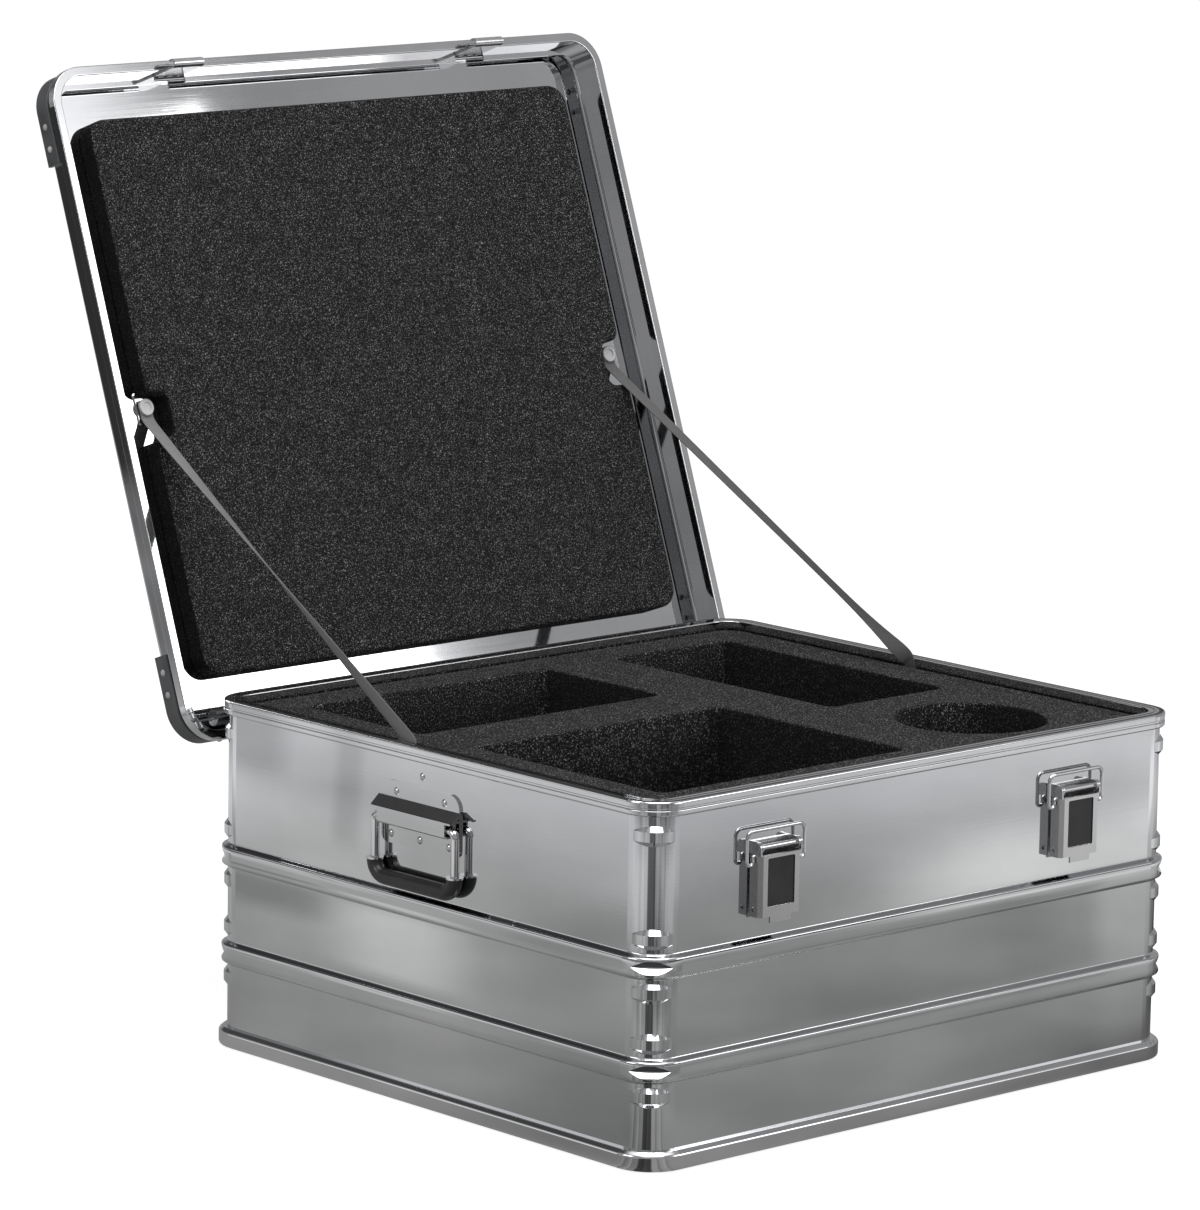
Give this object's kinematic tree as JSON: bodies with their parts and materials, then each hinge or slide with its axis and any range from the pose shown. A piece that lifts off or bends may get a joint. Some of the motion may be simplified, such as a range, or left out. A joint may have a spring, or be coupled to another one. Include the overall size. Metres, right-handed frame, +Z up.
{
  "type": "aluminium transport case",
  "caption": "Open aluminium transport case with a beaded body, hinged lid on stay straps, draw latches, folding side handles and a foam insert with pockets for equipment.",
  "frame": {"origin": "centre of the bottom face, on the surface that the case stands on", "axes": "+Z up, -Y towards the front with the latches, +X to the right seen from the front"},
  "size_m": [0.616, 0.7776, 0.7957],
  "materials": {
    "case_sheet": "bright rolled sheet",
    "rim_metal": "satin extrusion",
    "seal_rubber": "soft rubber strip",
    "foam": "charcoal speckled foam",
    "hinge_metal": "satin",
    "latch_metal": "zinc plated, satin",
    "latch_plate": "black, bare",
    "wire_metal": "bright plated wire",
    "handle_metal": "zinc plated, satin",
    "grip_rubber": "satin black sleeve",
    "bush_plastic": "matt",
    "bumper_plastic": "moulded, dark grey",
    "rivet_metal": "bright",
    "webbing": "grey woven webbing",
    "button_plastic": "light grey"
  },
  "bodies": {
    "case": {"body_wall": "case_sheet", "floor_pan": "case_sheet", "bottom_rim": "rim_metal", "top_rim": "rim_metal", "rim_seal": "seal_rubber", "foam_insert": "foam", "hinge_case_leaf": "hinge_metal", "hinge_pin": "wire_metal", "hinge_case_rivets": "rivet_metal", "latch_left_base": "latch_metal", "latch_left_pin": "wire_metal", "latch_left_rivets": "rivet_metal", "handle_left_plate": "handle_metal", "handle_left_bracket": "handle_metal", "handle_left_bushes": "bush_plastic", "handle_left_rivets": "rivet_metal", "strap_left": "webbing", "strap_left_clip": "handle_metal", "latch_right_base": "latch_metal", "latch_right_pin": "wire_metal", "latch_right_rivets": "rivet_metal", "handle_right_plate": "handle_metal", "handle_right_bracket": "handle_metal", "handle_right_bushes": "bush_plastic", "handle_right_rivets": "rivet_metal", "strap_right": "webbing", "strap_right_clip": "handle_metal"},
    "lid": {"lid_frame": "rim_metal", "lid_panel": "case_sheet", "lid_foam": "foam", "lid_bumper_front_left": "bumper_plastic", "lid_bumper_front_right": "bumper_plastic", "lid_bumper_rear_left": "bumper_plastic", "lid_bumper_rear_right": "bumper_plastic", "lid_bumper_rivets": "rivet_metal", "lid_hook_left": "latch_metal", "lid_hook_right": "latch_metal", "lid_hook_rivets": "rivet_metal", "hinge_lid_leaf": "hinge_metal", "hinge_lid_rivets": "rivet_metal", "strap_left_post": "handle_metal", "strap_right_post": "handle_metal", "strap_left_button": "button_plastic", "strap_right_button": "button_plastic"},
    "latch_left": {"latch_left_lever": "latch_metal", "latch_left_face": "latch_plate"},
    "bail_left": {"latch_left_bail": "wire_metal"},
    "handle_left": {"handle_left_bail": "wire_metal", "handle_left_grip": "grip_rubber", "handle_left_collars": "wire_metal"},
    "latch_right": {"latch_right_lever": "latch_metal", "latch_right_face": "latch_plate"},
    "bail_right": {"latch_right_bail": "wire_metal"},
    "handle_right": {"handle_right_bail": "wire_metal", "handle_right_grip": "grip_rubber", "handle_right_collars": "wire_metal"}
  },
  "joints": [
    {"name": "lid_hinge", "type": "hinge", "parent": "case", "child": "lid", "pos_m": [0, 0.277, 0.271], "axis": [-1, 0, 0], "range_deg": [-110, 0], "deforming": ["strap_left", "strap_right"]},
    {"name": "latch_left_lever", "type": "hinge", "parent": "case", "child": "latch_left", "pos_m": [-0.169, -0.2745, 0.245], "axis": [-1, 0, 0], "range_deg": [0, 150]},
    {"name": "latch_left_bail", "type": "hinge", "parent": "latch_left", "child": "bail_left", "pos_m": [-0.169, -0.2721, 0.2385], "axis": [-1, 0, 0], "range_deg": [-150, 0]},
    {"name": "latch_right_lever", "type": "hinge", "parent": "case", "child": "latch_right", "pos_m": [0.169, -0.2745, 0.245], "axis": [-1, 0, 0], "range_deg": [0, 150]},
    {"name": "latch_right_bail", "type": "hinge", "parent": "latch_right", "child": "bail_right", "pos_m": [0.169, -0.2721, 0.2385], "axis": [-1, 0, 0], "range_deg": [-150, 0]},
    {"name": "handle_left_swing", "type": "hinge", "parent": "case", "child": "handle_left", "pos_m": [-0.3004, 0.004, 0.232], "axis": [0, 1, 0], "range_deg": [0, 95]},
    {"name": "handle_right_swing", "type": "hinge", "parent": "case", "child": "handle_right", "pos_m": [0.3004, 0.004, 0.232], "axis": [0, -1, 0], "range_deg": [0, 95]}
  ],
  "couplings": [
    {"joint": "latch_left_bail", "follows": "latch_left_lever", "ratio": -1},
    {"joint": "latch_right_bail", "follows": "latch_right_lever", "ratio": -1}
  ]
}
